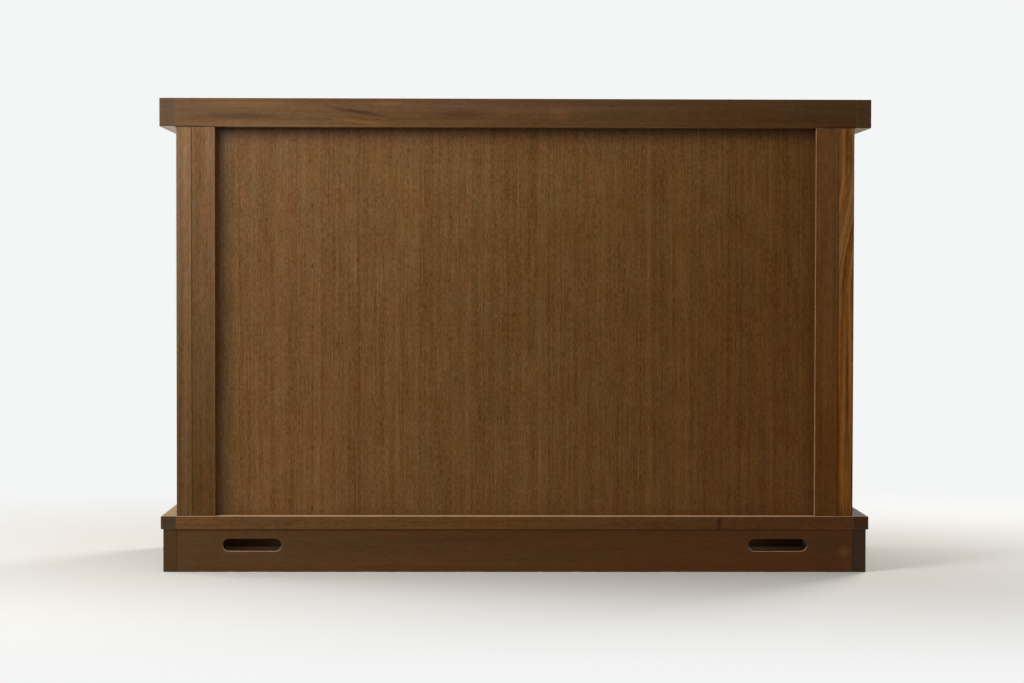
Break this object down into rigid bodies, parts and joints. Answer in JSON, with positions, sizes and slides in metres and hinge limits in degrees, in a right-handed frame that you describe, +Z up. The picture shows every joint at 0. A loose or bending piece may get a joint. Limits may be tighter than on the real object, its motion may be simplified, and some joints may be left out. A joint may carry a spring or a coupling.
{
  "type": "sliding lattice-door cupboard",
  "caption": "Low wooden cupboard with a recessed back panel, two sliding glazed lattice doors and a separate plinth with hand slots at the back.",
  "frame": {"origin": "centre of the footprint, on the floor", "axes": "+Z up, -Y the side with the doors, +Y the back, +X to the right as seen from the doors"},
  "size_m": [1.29, 0.45, 0.86],
  "materials": {
    "stained_edging": "dark stained solid wood, satin",
    "stained_frame": "dark stained solid wood, satin",
    "stained_veneer": "stained veneered plywood, satin",
    "plinth_wood": "dark stained solid wood, satin",
    "inner_wood": "bare softwood, planed",
    "lattice_wood": "dark stained solid wood, satin",
    "door_glass": "clear, polished",
    "pull_brass": "aged, satin",
    "brad_steel": "darkened"
  },
  "bodies": {
    "cupboard": {"back_panel": "stained_veneer", "back_panel_brads": "brad_steel", "back_rail_bottom": "inner_wood", "back_rail_top": "inner_wood", "back_stile_left": "stained_frame", "back_stile_right": "stained_frame", "bottom_board": "inner_wood", "ceiling_board": "inner_wood", "head_rail": "stained_frame", "ledge_edge_front": "stained_edging", "ledge_edge_left": "stained_edging", "ledge_edge_rear": "stained_edging", "ledge_edge_right": "stained_edging", "ledge_panel": "inner_wood", "partition": "inner_wood", "plinth_bearer": "inner_wood", "plinth_corner_blocks": "inner_wood", "plinth_front": "plinth_wood", "plinth_left": "plinth_wood", "plinth_rear": "plinth_wood", "plinth_right": "plinth_wood", "post_front_left": "stained_frame", "post_front_right": "stained_frame", "post_rear_left": "stained_frame", "post_rear_right": "stained_frame", "shelf": "inner_wood", "shelf_cleat_left": "inner_wood", "shelf_cleat_right": "inner_wood", "side_panel_left": "stained_veneer", "side_panel_right": "stained_veneer", "side_rail_bottom_left": "stained_frame", "side_rail_bottom_right": "stained_frame", "side_rail_top_left": "stained_frame", "side_rail_top_right": "stained_frame", "threshold": "stained_frame", "top_battens": "inner_wood", "top_edge_front": "stained_edging", "top_edge_left": "stained_edging", "top_edge_rear": "stained_edging", "top_edge_right": "stained_edging", "top_panel": "stained_veneer"},
    "left_door": {"left_door_cross_bars": "lattice_wood", "left_door_finger_pull": "pull_brass", "left_door_foot_rail": "lattice_wood", "left_door_glass": "door_glass", "left_door_glass_beads": "lattice_wood", "left_door_head_rail": "lattice_wood", "left_door_lattice_bars": "lattice_wood", "left_door_stile_left": "lattice_wood", "left_door_stile_right": "lattice_wood"},
    "right_door": {"right_door_cross_bars": "lattice_wood", "right_door_finger_pull": "pull_brass", "right_door_foot_rail": "lattice_wood", "right_door_glass": "door_glass", "right_door_glass_beads": "lattice_wood", "right_door_head_rail": "lattice_wood", "right_door_lattice_bars": "lattice_wood", "right_door_stile_left": "lattice_wood", "right_door_stile_right": "lattice_wood"}
  },
  "joints": [
    {"name": "left_door_slide", "type": "slide", "parent": "cupboard", "child": "left_door", "axis": [1, 0, 0], "range_m": [0, 0.5715]},
    {"name": "right_door_slide", "type": "slide", "parent": "cupboard", "child": "right_door", "axis": [1, 0, 0], "range_m": [-0.5715, 0]}
  ]
}
